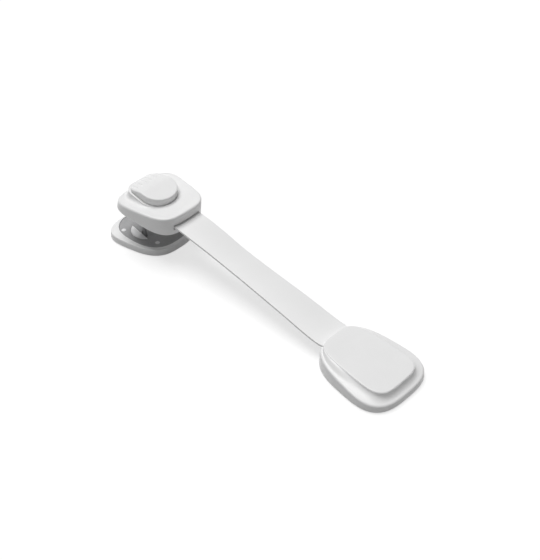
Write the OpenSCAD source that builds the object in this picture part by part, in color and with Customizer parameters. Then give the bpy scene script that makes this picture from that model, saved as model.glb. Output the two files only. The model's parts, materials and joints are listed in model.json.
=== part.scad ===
// Cabinet safety strap lock: an anchor pad and a latch head on one flat strap,
// and a separate dock that the head's turn dial grips. Sizes are in mm.
// +X runs from the anchor to the head, +Z points away from the panel, and the
// origin is the middle of the anchor's lowest face.

/* [Anchor pad] */
// Length of the anchor pad along the strap
anchor_l = 50; // [46:0.5:56]
// Width of the anchor pad at its middle
anchor_w = 41.4; // [37:0.2:46]
// Height of the anchor's rim at the strap end
anchor_rim_near = 9.6; // [9:0.1:10]
// Height of the anchor's rim at the far end
anchor_rim_far = 4.0; // [3.6:0.1:5]
// Height of the raised top at the strap end
anchor_top_near = 11.2; // [10.8:0.1:12]
// Height of the raised top at the far end
anchor_top_far = 7.6; // [6.6:0.1:8.5]
// How much wider the far end is than the middle, as a part of the width
anchor_flare = 0.17; // [0.08:0.01:0.2]

/* [Strap] */
// Width of the strap
strap_w = 18.25; // [16:0.25:20]
// Thickness of the strap
strap_t = 1.0; // [0.8:0.05:1.2]
// Free length from the bend at the anchor to the head
strap_free = 102.9; // [80:0.1:160]
// Height of the strap's mid plane above the panel
strap_z = 9.2; // [9:0.05:9.4]
// How far the head stands open in the drawn pose, in degrees
open_angle = 8.1; // [2:0.1:20]

/* [Latch head] */
// Length of the head along the strap
head_l = 40.7; // [39:0.1:44]
// Width of the head at its middle
head_w = 38.2; // [36:0.2:44]
// How much wider the free end is than the middle, as a part of the width
head_flare = 0.16; // [0.08:0.01:0.18]
// Height of the head's edge at the strap end
head_edge_near = 12.2; // [11.6:0.1:13]
// Height of the head's edge at the free end
head_edge_far = 4.2; // [4:0.1:5.4]
// Wall of the head's rim
head_wall = 2.2; // [1.6:0.1:2.6]
// Depth of the plate inside the rim
plate_recess = 2.4; // [2:0.1:2.5]
// Thickness of the head's bottom plate
plate_t = 1.1; // [0.9:0.1:1.2]

/* [Dial and lock] */
// Distance of the dial's axis from the middle of the head, to the free end
dial_shift = 3.75; // [3:0.25:4.5]
// Radius of the dial's round part
dial_r = 10.75; // [10:0.25:11]
// Reach of the dial's thumb nose from its axis
dial_nose = 13.8; // [12.8:0.1:14.2]
// Height of the dial
dial_h = 5.0; // [4.5:0.1:6.5]
// Number of grip flutes on the thumb ramp
flutes = 6; // [3:1:9]
// Turn from open to locked, in degrees
dial_turn = 28; // [24:1:28]
// Radius of the dial's stem
stem_r = 3.6; // [3.2:0.1:3.8]

/* [Dock] */
// Length of the dock
dock_l = 41; // [39:0.5:46]
// Width of the dock at its middle
dock_w = 41; // [39:0.2:46]
// How much wider the dock's free end is than its middle, as a part of the width
dock_flare = 0.21; // [0.1:0.01:0.24]
// Distance of the dock's middle from the dial's axis, to the free end
dock_shift = 3.4; // [2.8:0.1:4]
// Height of the dock's border
dock_h = 4.4; // [4.2:0.05:4.45]
// Depth of the dock's pocket
pocket_d = 1.4; // [1.2:0.1:1.6]

/* [Mounting] */
// Thickness of the foam tape
tape_t = 1.0; // [0.8:0.1:1.2]
// Thickness of the release liner
liner_t = 0.15; // [0.1:0.05:0.2]

/* [Fits] */
// Radial running clearance of the dial's stem
stem_fit = 0.05; // [0.02:0.01:0.1]
// Clearance between moving faces
run_gap = 0.3; // [0.25:0.05:0.4]
// Clearance between pieces that are fixed together
seat_gap = 0.15; // [0.1:0.05:0.2]
// Gap over the strap in the head's slot
slot_gap = 0.9; // [0.4:0.05:1]

/* [Hidden] */
outline_steps = 64;
$fn = 48;

// Cutters reach this far past the face they open
past = 1;

// Corner fullness of the outlines: 2 is an ellipse, more is squarer
anchor_power = 3.0;
plateau_power = 3.6;
head_power = 3.7;
dock_power = 3.1;
pocket_power = 2.65;

// Heights and places of the swinging head, drawn shut and then swung open
bend_x = anchor_l / 2 + 3;
bend_reach = 4;
head_x = bend_x + strap_free + head_l / 2;
head_z = dock_h + 0.2;
dial_x = head_x + dial_shift;
dock_x = dial_x + dock_shift;
strap_in_head_z = strap_z - head_z;

// Layers under the anchor and the dock
tape_top = liner_t + tape_t;
skirt_z = 0.3;
foot_r = 0.4;
base_inset = 1.9;
base_t = 1.5;
anchor_tape_inset = 2.9;
dock_tape_room = 2.2;
dock_tape_inset = 3.0;

// Levels inside the head, above its rim
lip_gap = 0.2;
lip_t = 1.0;
roof_t = 1.9;
plate_top = plate_recess + plate_t;
lip_z = plate_top + lip_gap;
hook_lip_z = lip_z + lip_t + run_gap;
hook_top = hook_lip_z + lip_t;
ceiling = hook_top + lip_gap;
well_z = ceiling + roof_t;
dial_z = well_z + run_gap;
hub_z = lip_z + 0.1;
hub_top = ceiling - lip_gap;

// Radii round the dial's axis
hook_r = 9.4;
hook_t = 0.9;
hook_lip = 1.6;
hub_r = 5.5;
hub_lip_r = hook_r - hook_t - run_gap;
slot_in = hook_r - hook_t - hook_lip - run_gap;
slot_out = hook_r + run_gap;

// Angles round the dial's axis, from the free end towards +Y
hook_a = 55.5;
hook_span = 31;
lip_span = 22;
lip_a = hook_a + hook_span + 6;
slot_room_a = 7;
slot_a = hook_a - slot_room_a;
slot_span = lip_a + lip_span + slot_room_a - slot_a;

// Screws: head, shank and the fits round them
screw_head_r = 1.5;
screw_head_h = 0.7;
screw_r = 0.8;
thread_fit = 0.05;
hole_fit = 0.1;
anchor_screw_x = [-13, 15];
anchor_screw_y = 10.5;
anchor_boss_r = 2.6;
anchor_screw_l = 3.4;
head_screw_end = 10.85;
head_screw_dx = head_l / 2 - head_screw_end;
head_screw_y = 9.2;
head_screw_l = 2.8;

// Strap ends: the tail on two posts in the anchor, and the lug in the head
tail_z = 6.0;
tail_x = [4, 13];
tail_rise = bend_x - bend_reach - 2;
post_x = 8;
post_y = 5;
post_r = 1.5;
rail_l = 8;
rail_w = 2;
rail_x = tail_x[0] + 1 - post_x;
strap_in = 12;
lug_end = 8.1;
lug_x = lug_end - head_l / 2;
lug_l = 3;
lug_w = 6;
lug_fit = 0.3;
lug_lift = 0.2;

function spow(v, p) = sign(v) * pow(abs(v), p);

// Rounded shield: a tapered superellipse, centred on the origin
function shield(l, w, flare, power) = [
    for (i = [0 : outline_steps - 1])
    let (a = 360 * i / outline_steps)
    let (x = spow(cos(a), 2 / power), y = spow(sin(a), 2 / power))
    [l / 2 * x, w / 2 * (1 + flare * x) * y]];

// The outlines, drawn in from the edge by d
function anchor_line(d) = shield(anchor_l - 2 * d, anchor_w - 2 * d, -anchor_flare,
    anchor_power);
function head_line(d) = shield(head_l - 2 * d, head_w - 2 * d, head_flare, head_power);
function dock_line(d) = shield(dock_l - 2 * d, dock_w - 2 * d, dock_flare, dock_power);

// Lifts an outline to a plane of height z at x = 0 that rises by s per mm
function lift(line, z, s) = [for (p = line) [p.x, p.y, z + s * p.x]];
function mix(a, b, t) = [for (i = [0 : len(a) - 1]) a[i] * (1 - t) + b[i] * t];
function arc(cx, cy, r, a0, a1, steps) = [
    for (i = [0 : steps])
    let (a = a0 + (a1 - a0) * i / steps)
    [cx + r * cos(a), cy + r * sin(a)]];

// Closed solid through a stack of outlines with the same number of points
module skin(rings) {
    n = len(rings[0]);
    top = (len(rings) - 1) * n;
    sides = [
        for (k = [0 : len(rings) - 2])
        for (i = [0 : n - 1])
        let (a = k * n + i, b = k * n + (i + 1) % n)
        each [[a, a + n, b + n], [a, b + n, b]]];
    floor_face = [for (i = [0 : n - 1]) i];
    roof_face = [for (i = [n - 1 : -1 : 0]) top + i];
    polyhedron([for (r = rings) each r], concat([floor_face], sides, [roof_face]));
}

// Puts a piece drawn in the shut head's frame where the open head has it
module swung() {
    translate([bend_x, 0, strap_z])
        rotate([0, -open_angle, 0])
            translate([head_x - bend_x, 0, head_z - strap_z])
                children();
}

module at_dial() {
    translate([dial_shift, 0, 0]) children();
}

module at_anchor_screws() {
    for (x = anchor_screw_x, y = [-1, 1])
        translate([x, y * anchor_screw_y, 0])
            children();
}

module at_head_screws() {
    for (x = [-1, 1], y = [-1, 1])
        translate([dial_shift + x * head_screw_dx, y * head_screw_y, 0])
            children();
}

module at_posts() {
    for (y = [-1, 1])
        translate([post_x, y * post_y, 0])
            children();
}

// Ring sector between two radii, from angle a over a span
module sector(r0, r1, z, h, a, span) {
    rotate([0, 0, a])
        rotate_extrude(angle = span)
            translate([r0, z])
                square([r1 - r0, h]);
}

// Pan head screw with a cross recess, its head's face at z = 0 and its shank running up
module screw(length) {
    chamfer = 0.3;
    recess_l = 1.8;
    recess_w = 0.4;
    recess_d = 0.4;
    tip_r = 0.2;
    tip_l = 0.6;
    difference() {
        rotate_extrude()
            polygon([[0, 0], [screw_head_r - chamfer, 0], [screw_head_r, chamfer],
                [screw_head_r, screw_head_h], [screw_r, screw_head_h],
                [screw_r, length - tip_l], [tip_r, length], [0, length]]);
        for (a = [0, 90])
            rotate([0, 0, a])
                translate([-recess_l / 2, -recess_w / 2, -past])
                    cube([recess_l, recess_w, recess_d + past]);
    }
}

// Anchor: rim and top planes, and the raised top's outline
rim_s = (anchor_rim_near - anchor_rim_far) / anchor_l;
rim_0 = (anchor_rim_near + anchor_rim_far) / 2;
top_s = (anchor_top_near - anchor_top_far) / anchor_l;
top_0 = (anchor_top_near + anchor_top_far) / 2;
crest = 1.3;
plateau_x = 1.35;
plateau_end = 3.15;
plateau_side = 6;
plateau_l = anchor_l - 2 * plateau_end;
plateau_w = anchor_w - 2 * plateau_side;
plateau_flare = 0.1;
plateau_foot = 0.35;
plateau_rise = 0.75;
cove_power = 2;

function plateau_line(d) = [
    for (p = shield(plateau_l - 2 * d, plateau_w - 2 * d, -plateau_flare, plateau_power))
    [p.x + plateau_x, p.y]];

// One ring of the cove between the rim's crest (t = 0) and the plateau's foot (t = 1)
function cove(t) = let (line = mix(anchor_line(crest), plateau_line(-plateau_foot), t)) [
    for (p = line)
    let (low = rim_0 + rim_s * p.x, high = top_0 + top_s * p.x)
    [p.x, p.y, low + (high - low) * plateau_rise * pow(t, cove_power)]];

module anchor_form() {
    skin([
        lift(anchor_line(foot_r), skirt_z, 0),
        lift(anchor_line(0), skirt_z + foot_r, 0),
        lift(anchor_line(0.2), rim_0 - 1.1, rim_s),
        lift(anchor_line(0.55), rim_0 - 0.3, rim_s),
        cove(0), cove(0.3), cove(0.55), cove(0.75), cove(0.9), cove(1),
        lift(plateau_line(0), top_0 - 0.5, top_s),
        lift(plateau_line(0.2), top_0 - 0.12, top_s),
        lift(plateau_line(0.65), top_0, top_s)]);
}

// Side view of the strap's path, grown by g on each face
function bent(along) = [bend_x + along * cos(open_angle), strap_z + along * sin(open_angle)];
function strap_path() = concat(
    [[tail_x[0], tail_z], [tail_x[1], tail_z]],
    [for (i = [1 : 7])
        let (t = i / 8, s = t * t * (3 - 2 * t))
        [tail_x[1] + (tail_rise - tail_x[1]) * t, tail_z + (strap_z - tail_z) * s]],
    [[tail_rise, strap_z]],
    [for (i = [0 : 8])
        let (t = i / 8, a = [bend_x - bend_reach, strap_z], c = bent(bend_reach))
        a * pow(1 - t, 2) + 2 * t * (1 - t) * [bend_x, strap_z] + c * t * t],
    [bent(strap_free + strap_in)]);

function path_dir(p, i) = let (
    a = p[max(i - 1, 0)], b = p[min(i + 1, len(p) - 1)], d = b - a) d / norm(d);
function band(p, g) = concat(
    [for (i = [0 : len(p) - 1]) let (d = path_dir(p, i)) p[i] + g * [d.y, -d.x]],
    [for (i = [len(p) - 1 : -1 : 0]) let (d = path_dir(p, i)) p[i] - g * [d.y, -d.x]]);

module strap_band(width, g) {
    translate([0, width / 2, 0])
        rotate([90, 0, 0])
            linear_extrude(width)
                polygon(band(strap_path(), g));
}

// Anchor's inside: a step for the base, a hollow with screw bosses, and the strap's way
anchor_wall = 4.4;
anchor_roof = 2.2;
base_top = tape_top + base_t;
post_top = tail_z + 1.4;

module anchor_cover() {
    hollow_top = anchor_top_far - anchor_roof;
    color("white")
        difference() {
            anchor_form();
            translate([0, 0, skirt_z - past])
                linear_extrude(base_top + thread_fit - skirt_z + past)
                    polygon(anchor_line(base_inset));
            difference() {
                linear_extrude(hollow_top)
                    polygon(anchor_line(anchor_wall));
                at_anchor_screws()
                    cylinder(r = anchor_boss_r, h = hollow_top + past);
            }
            at_anchor_screws()
                cylinder(r = screw_r + thread_fit, h = hollow_top);
            strap_band(strap_w + 2 * seat_gap, strap_t / 2 + seat_gap);
            at_posts() {
                cylinder(r = post_r + thread_fit, h = post_top + lip_gap);
                translate([rail_x - seat_gap, -rail_w / 2 - seat_gap, 0])
                    cube([rail_l + 2 * seat_gap, rail_w + 2 * seat_gap, tail_z]);
            }
        }
}

module anchor_base() {
    rail_top = tail_z - strap_t / 2 - hole_fit;
    color("white")
        difference() {
            union() {
                translate([0, 0, tape_top])
                    linear_extrude(base_t)
                        polygon(anchor_line(base_inset + seat_gap));
                at_posts() {
                    translate([0, 0, tape_top])
                        cylinder(r = post_r, h = post_top - tape_top);
                    translate([rail_x, -rail_w / 2, tape_top])
                        cube([rail_l, rail_w, rail_top - tape_top]);
                }
            }
            at_anchor_screws() {
                cylinder(r = screw_r + hole_fit, h = base_top + past);
                cylinder(r = screw_head_r + hole_fit, h = tape_top + screw_head_h + hole_fit);
            }
        }
}

module anchor_screws() {
    color("silver")
        translate([0, 0, tape_top + hole_fit])
            at_anchor_screws()
                screw(anchor_screw_l);
}

module anchor_tape() {
    color("whitesmoke")
        translate([0, 0, liner_t])
            linear_extrude(tape_t)
                polygon(anchor_line(anchor_tape_inset));
}

module anchor_liner() {
    color("lightgray")
        linear_extrude(liner_t)
            polygon(anchor_line(anchor_tape_inset));
}

module strap() {
    color("white") {
        difference() {
            strap_band(strap_w, strap_t / 2);
            at_posts()
                cylinder(r = post_r + seat_gap, h = post_top + past);
        }
        swung()
            translate([lug_x - lug_l / 2, -lug_w / 2, plate_recess + lug_lift])
                cube([lug_l, lug_w, strap_in_head_z - plate_recess - lug_lift]);
    }
}

// Head: edge plane, dished top, and the dial's outline and pedestal
edge_s = (head_edge_far - head_edge_near) / head_l;
edge_0 = (head_edge_near + head_edge_far) / 2;
dish_d = 0.6;
nose_r = 5.4;
pedestal_w = 1.0;
pedestal_rise = 0.2;
cavity_r = hook_r + run_gap;
washer_r = 6.2;
washer_t = 0.5;
washer_sink = 0.3;

module head_form() {
    skin([
        lift(head_line(foot_r), 0, 0),
        lift(head_line(0), foot_r, 0),
        lift(head_line(0.3), edge_0 - 1.4, edge_s),
        lift(head_line(0.65), edge_0 - 0.45, edge_s),
        lift(head_line(1.5), edge_0, edge_s),
        lift(head_line(3.2), edge_0 - 0.1, edge_s),
        lift(head_line(5.4), edge_0 - dish_d, edge_s)]);
}

// Outline of the dial: a half round with straight flanks to a blunt nose
function dial_line(d) = concat(
    arc(dial_nose - nose_r, dial_r - nose_r, nose_r - d, 0, 90, 8),
    arc(0, 0, dial_r - d, 90, 270, 28),
    arc(dial_nose - nose_r, nose_r - dial_r, nose_r - d, 270, 360, 8));

// The raised seat under the dial, kept inside the head's edge
module pedestal() {
    z = plate_top + lip_gap;
    h = well_z + pedestal_rise - z;
    translate([0, 0, z])
        intersection() {
            linear_extrude(h)
                polygon(head_line(pedestal_w));
            at_dial()
                translate([0, 0, -past])
                    linear_extrude(h + 2 * past)
                        polygon(dial_line(-run_gap - pedestal_w));
        }
}

// The room the dial sweeps, open at the head's free end
module dial_room(height) {
    r = dial_r + run_gap;
    last = 270 - dial_turn;
    linear_extrude(height)
        polygon(concat(
            arc(0, 0, r, 90, last, 28),
            [[r * cos(last) + head_l * cos(dial_turn), r * sin(last) - head_l * sin(dial_turn)],
                [2 * head_l, r]]));
}

module head_cover() {
    color("white")
        swung()
            difference() {
                union() {
                    head_form();
                    pedestal();
                }
                translate([0, 0, -past])
                    linear_extrude(plate_top + past)
                        polygon(head_line(head_wall));
                at_dial() {
                    cylinder(r = cavity_r, h = ceiling);
                    cylinder(r = stem_r + stem_fit, h = well_z + past);
                    translate([0, 0, well_z - washer_sink])
                        cylinder(r = washer_r + hole_fit, h = past);
                    translate([0, 0, well_z])
                        dial_room(dial_h + head_edge_near);
                }
                translate([-head_l / 2 - past, -strap_w / 2 - seat_gap, plate_top - slot_gap])
                    cube([strap_in + 0.5 + past, strap_w + 2 * seat_gap,
                        strap_in_head_z + strap_t / 2 + 2 * slot_gap - plate_top]);
                at_head_screws()
                    cylinder(r = screw_r + thread_fit, h = plate_recess + head_screw_l + lip_gap);
            }
}

module head_plate() {
    bore_r = screw_head_r + run_gap;
    color("white")
        swung()
            difference() {
                translate([0, 0, plate_recess])
                    linear_extrude(plate_t)
                        polygon(head_line(head_wall + seat_gap));
                at_dial()
                    for (a = [slot_a, slot_a + 180])
                        sector(slot_in, slot_out, plate_recess - past, plate_t + 2 * past, a,
                            slot_span);
                at_head_screws() {
                    cylinder(r = screw_r + hole_fit, h = plate_top + past);
                    cylinder(r = bore_r, h = plate_recess + screw_head_h);
                }
                translate([lug_x - lug_l / 2 - lug_fit, -lug_w / 2 - lug_fit, 0])
                    cube([lug_l + 2 * lug_fit, lug_w + 2 * lug_fit, plate_top + past]);
            }
}

module head_screws() {
    color("silver")
        swung()
            translate([0, 0, plate_recess])
                at_head_screws()
                    screw(head_screw_l);
}

module dial_washer() {
    color("gray")
        swung()
            at_dial()
                translate([0, 0, well_z - washer_sink])
                    difference() {
                        cylinder(r = washer_r, h = washer_t);
                        translate([0, 0, -past])
                            cylinder(r = stem_r + run_gap, h = washer_t + 2 * past);
                    }
}

// Detent spring: a leaf across the cavity with a round nose in the hub's notch
spring_x = hub_r + 1.2;
spring_l = 10.5;
spring_t = 0.4;
spring_h = 1.2;
spring_nose_x = spring_x - 0.15;
spring_nose_r = 1.5;
notch_r = spring_nose_r + run_gap;

module detent_spring() {
    color("silver")
        swung()
            at_dial()
                translate([0, 0, hook_lip_z]) {
                    translate([-spring_x - spring_t, -spring_l / 2, 0])
                        cube([spring_t, spring_l, spring_h]);
                    translate([-spring_nose_x, 0, 0])
                        cylinder(r = spring_nose_r, h = spring_h);
                }
}

// Dial: a thumb ramp with flutes, and a stem that takes the screw
ramp_x = 1.5;
ramp_end = 1.3;
flute_x = 6.4;
flute_r = 0.9;
flute_lift = 0.55;
flute_pitch = 2 * (dial_r - 2.4) / max(flutes - 1, 1);
dial_screw_l = 4;
screw_bore_top = hub_z + dial_screw_l + lip_gap;

module dial() {
    ramp_a = atan((dial_h - ramp_end) / (dial_nose - ramp_x));
    color("white")
        swung()
            at_dial()
                difference() {
                    union() {
                        difference() {
                            translate([0, 0, dial_z])
                                skin([
                                    lift(dial_line(0.3), 0, 0),
                                    lift(dial_line(0), 0.3, 0),
                                    lift(dial_line(0.1), dial_h - 0.9, 0),
                                    lift(dial_line(0.35), dial_h - 0.3, 0),
                                    lift(dial_line(0.9), dial_h, 0)]);
                            translate([ramp_x, 0, dial_z + dial_h])
                                rotate([0, ramp_a, 0])
                                    thumb_cut();
                        }
                        translate([0, 0, hub_top])
                            cylinder(r = stem_r, h = dial_z + 0.6 - hub_top);
                    }
                    translate([0, 0, hub_top - past])
                        cylinder(r = screw_r + thread_fit, h = screw_bore_top - hub_top + past);
                }
}

module thumb_cut() {
    translate([0, -dial_r - past, 0])
        cube([dial_nose * 2, 2 * (dial_r + past), dial_h * 2]);
    for (i = [0 : flutes - 1])
        translate([flute_x, (i - (flutes - 1) / 2) * flute_pitch, flute_lift])
            rotate([0, 90, 0])
                cylinder(r = flute_r, h = dial_nose * 2);
}

module lock_hub() {
    color("lightgray")
        swung()
            at_dial()
                difference() {
                    union() {
                        translate([0, 0, hub_z])
                            cylinder(r = hub_r, h = hub_top - hub_z);
                        for (a = [lip_a, lip_a + 180])
                            sector(screw_head_r + 1, hub_lip_r, lip_z, lip_t, a, lip_span);
                    }
                    cylinder(r = screw_r + hole_fit, h = hub_top + past);
                    cylinder(r = screw_head_r + hole_fit, h = hub_z + screw_head_h);
                    for (a = [180, 180 + dial_turn])
                        rotate([0, 0, a])
                            translate([spring_nose_x, 0, hook_lip_z - hole_fit])
                                cylinder(r = notch_r, h = hub_top);
                }
}

module dial_screw() {
    color("silver")
        swung()
            at_dial()
                translate([0, 0, hub_z])
                    screw(dial_screw_l);
}

// Dock: the border's widths and the levels
border_side = 3.5;
border_nose = 1.0;
border_strap = 2.4;
pocket_flare = 0.08;
pocket_z = dock_h - pocket_d;
keeper_t = 0.8;
keeper_r = hook_r + 1;
keeper_bore = 4;
cushion_top = dock_h - hole_fit;

// The pocket's outline, drawn in by d: a narrow border at the nose and wide ones at the sides
function pocket_line(d) = [
    for (p = shield(dock_l - border_nose - border_strap - 2 * d, dock_w - 2 * border_side - 2 * d,
        pocket_flare, pocket_power))
    [p.x + (border_strap - border_nose) / 2, p.y]];

// Landings: light leaves outside the hooks, level with the cushion, from the dial's axis
landing_at = [5.1, 4.8];
landing_r = 8.9;
landing_in = hook_r + run_gap;
landing_a = -7.5;
landing_top = dock_h + thread_fit;

// Studs that pin the cushion down, from the dial's axis
stud_at = [[13.7, 14.4], [13.7, -14.4], [-8.4, 8.6], [8.4, -8.6]];
stud_r = 0.8;
stud_head_r = 1.3;
stud_head_h = 0.2;
stud_sink = 0.8;

module at_studs() {
    translate([dial_x, 0, pocket_z - stud_sink])
        for (p = stud_at)
            translate(p)
                children();
}

// Plan of one landing: the part of a circle that lies past a straight line
module landing_plan(grow) {
    intersection() {
        translate(landing_at)
            circle(r = landing_r + grow);
        rotate([0, 0, landing_a])
            translate([-dock_l / 2, landing_in - grow])
                square([dock_l, dock_w / 2]);
    }
}

// Hook: an arc wall with a lip turned in to the dial's axis
module hook() {
    base = pocket_z - keeper_t / 2;
    skim = 0.1;
    lip_in = hook_r - hook_t - hook_lip;
    sector(hook_r - hook_t, hook_r, base, head_z + hook_top - base, hook_a, hook_span);
    sector(lip_in, hook_r - skim, head_z + hook_lip_z, lip_t - skim / 2, hook_a + skim,
        hook_span - 2 * skim);
}

module dock_base() {
    color("white")
        difference() {
            translate([dock_x, 0, 0])
                skin([
                    lift(dock_line(foot_r), skirt_z, 0),
                    lift(dock_line(0), skirt_z + foot_r, 0),
                    lift(dock_line(0.15), dock_h - 0.7, 0),
                    lift(dock_line(0.4), dock_h - 0.2, 0),
                    lift(dock_line(0.9), dock_h, 0)]);
            translate([dock_x, 0, pocket_z])
                linear_extrude(pocket_d + past)
                    polygon(pocket_line(0));
            translate([dock_x, 0, skirt_z - past])
                linear_extrude(tape_top - skirt_z + past)
                    polygon(dock_line(dock_tape_room));
            translate([dial_x, 0, pocket_z - keeper_t])
                cylinder(r = keeper_r + seat_gap, h = keeper_t + past);
            at_studs()
                cylinder(r = stud_r + thread_fit, h = stud_sink + past);
        }
}

module dock_keeper() {
    color("dimgray")
        translate([dial_x, 0, 0])
            union() {
                translate([0, 0, pocket_z - keeper_t])
                    difference() {
                        cylinder(r = keeper_r, h = keeper_t);
                        translate([0, 0, -past])
                            cylinder(r = keeper_bore, h = keeper_t + 2 * past);
                    }
                for (a = [0, 180])
                    rotate([0, 0, a])
                        hook();
            }
}

module dock_landings() {
    color("gainsboro")
        translate([dial_x, 0, pocket_z])
            for (a = [0, 180])
                rotate([0, 0, a])
                    linear_extrude(landing_top - pocket_z)
                        landing_plan(0);
}

module dock_studs() {
    shank = cushion_top + thread_fit - pocket_z + stud_sink;
    color("gainsboro")
        at_studs()
            rotate_extrude()
                polygon([[0, 0], [stud_r, 0], [stud_r, shank], [stud_head_r, shank],
                    [stud_head_r - stud_head_h / 2, shank + stud_head_h],
                    [0, shank + stud_head_h]]);
}

module dock_cushion() {
    room = 0.4;
    room_a = 3;
    far = dock_h + past;
    color("dimgray")
        difference() {
            translate([dock_x, 0, pocket_z])
                linear_extrude(cushion_top - pocket_z)
                    polygon(pocket_line(seat_gap));
            translate([dial_x, 0, 0])
                for (a = [0, 180])
                    rotate([0, 0, a]) {
                        sector(hook_r - hook_t - room, hook_r + room, 0, far, hook_a - room_a,
                            hook_span + 2 * room_a);
                        linear_extrude(far)
                            landing_plan(seat_gap);
                    }
            at_studs()
                cylinder(r = stud_r + seat_gap, h = far);
        }
}

module dock_tape() {
    color("whitesmoke")
        translate([dock_x, 0, liner_t])
            linear_extrude(tape_t)
                polygon(dock_line(dock_tape_inset));
}

module dock_liner() {
    color("lightgray")
        translate([dock_x, 0, 0])
            linear_extrude(liner_t)
                polygon(dock_line(dock_tape_inset));
}

anchor_cover();
anchor_base();
anchor_screws();
anchor_tape();
anchor_liner();
strap();
head_cover();
head_plate();
head_screws();
dial_washer();
detent_spring();
dial();
lock_hub();
dial_screw();
dock_base();
dock_keeper();
dock_landings();
dock_studs();
dock_cushion();
dock_tape();
dock_liner();
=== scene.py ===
"""Looks of a cabinet strap lock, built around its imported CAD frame.

Sizes are in millimetres. Meshes are scaled to metres as they are made, in the frame's own axes:
+X runs from the anchor to the head and +Z points away from the panel.
"""

import json
import logging
import math
from dataclasses import dataclass
from enum import Enum

import bmesh
import bpy
import numpy as np
from mathutils import Matrix, Vector


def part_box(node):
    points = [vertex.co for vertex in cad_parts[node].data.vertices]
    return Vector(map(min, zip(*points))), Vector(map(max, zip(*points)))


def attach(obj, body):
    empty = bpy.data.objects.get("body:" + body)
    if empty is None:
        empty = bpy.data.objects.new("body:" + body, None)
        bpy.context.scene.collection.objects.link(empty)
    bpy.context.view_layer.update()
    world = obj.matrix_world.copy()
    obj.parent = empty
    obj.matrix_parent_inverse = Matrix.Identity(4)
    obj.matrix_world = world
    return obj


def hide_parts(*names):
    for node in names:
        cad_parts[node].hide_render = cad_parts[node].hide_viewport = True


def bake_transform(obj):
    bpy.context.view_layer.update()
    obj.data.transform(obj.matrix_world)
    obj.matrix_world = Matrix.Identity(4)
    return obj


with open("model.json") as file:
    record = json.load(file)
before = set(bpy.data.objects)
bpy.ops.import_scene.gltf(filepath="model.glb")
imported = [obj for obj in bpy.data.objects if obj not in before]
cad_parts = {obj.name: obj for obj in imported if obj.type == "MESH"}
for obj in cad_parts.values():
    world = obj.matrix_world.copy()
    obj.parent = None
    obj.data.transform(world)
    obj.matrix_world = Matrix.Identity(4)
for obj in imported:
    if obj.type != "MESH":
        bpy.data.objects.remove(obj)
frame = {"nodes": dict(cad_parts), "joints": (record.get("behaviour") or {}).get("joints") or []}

LOG = logging.getLogger("strap_lock")
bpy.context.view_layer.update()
JOINTS = {joint["name"]: joint for joint in frame["joints"]}
NODES = frame["nodes"]
MM = 0.001
FULL_TURN = 2 * math.pi
DENSE_POINTS = 20000
NEAR_MIDDLE = 0.02
NOISE_LOW, NOISE_HIGH = 0.3, 0.7


class Ends(Enum):
    """How the first and last ring of a loft are finished."""

    CAPPED = "capped"
    LOOPED = "looped"


class Crease(Enum):
    """Angle above which an edge is shaded sharp, in degrees."""

    MOULDED = 38.0
    CRISP = 28.0


def signed_power(value: np.ndarray, power: float) -> np.ndarray:
    """Power of the size of each value, with the value's own sign."""
    return np.sign(value) * np.abs(value) ** power


def ease(share: np.ndarray) -> np.ndarray:
    """Smooth step from 0 to 1."""
    share = np.clip(share, 0.0, 1.0)
    return share * share * (3.0 - 2.0 * share)


def soft_ramp(run: np.ndarray, width: float) -> np.ndarray:
    """A ramp that is 0 before 0 and climbs one for one after it, with its corner rounded.

    Args:
        run: distance along the ramp.
        width: half length of the rounded corner.

    Returns:
        The climbed distance.
    """
    rounded = (run + width) ** 2 / (4 * width)
    return np.where(run < -width, 0.0, np.where(run > width, run, rounded))


def through(knots: tuple[tuple[float, float], ...], run: float) -> float:
    """Smooth value at a run along a row of knots, level before the first and after the last.

    Args:
        knots: pairs of a run and the value there.
        run: where the value is wanted.

    Returns:
        The value.
    """
    value = knots[0][1]
    for (start, low), (end, high) in zip(knots, knots[1:]):
        value += (high - low) * float(ease((run - start) / (end - start)))
    return value


def quarter(steps: int) -> np.ndarray:
    """Angles of a quarter round, both ends included."""
    return np.linspace(0.0, math.pi / 2, steps + 1)


def rounding(steps: int) -> list[tuple[float, float]]:
    """Shares drawn in and dropped along a quarter round, from its foot to its top."""
    return [(1 - math.cos(angle), 1 - math.sin(angle)) for angle in quarter(steps)]


def with_height(line: np.ndarray, height: np.ndarray | float) -> np.ndarray:
    """Adds a height to the points of a flat outline."""
    return np.column_stack([line, np.broadcast_to(height, len(line))])


def polar(angles: np.ndarray, radius: np.ndarray | float) -> np.ndarray:
    """Flat points at a radius for each angle."""
    return np.column_stack([radius * np.cos(angles), radius * np.sin(angles)])


def reach(line: np.ndarray, angles: np.ndarray) -> np.ndarray:
    """Distance from the origin to a closed outline round it.

    Args:
        line: the outline's points, close together.
        angles: directions to measure in.

    Returns:
        The distance in each direction.
    """
    bearing = np.arctan2(line[:, 1], line[:, 0])
    return np.interp(angles, bearing, np.hypot(line[:, 0], line[:, 1]), period=FULL_TURN)


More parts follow.
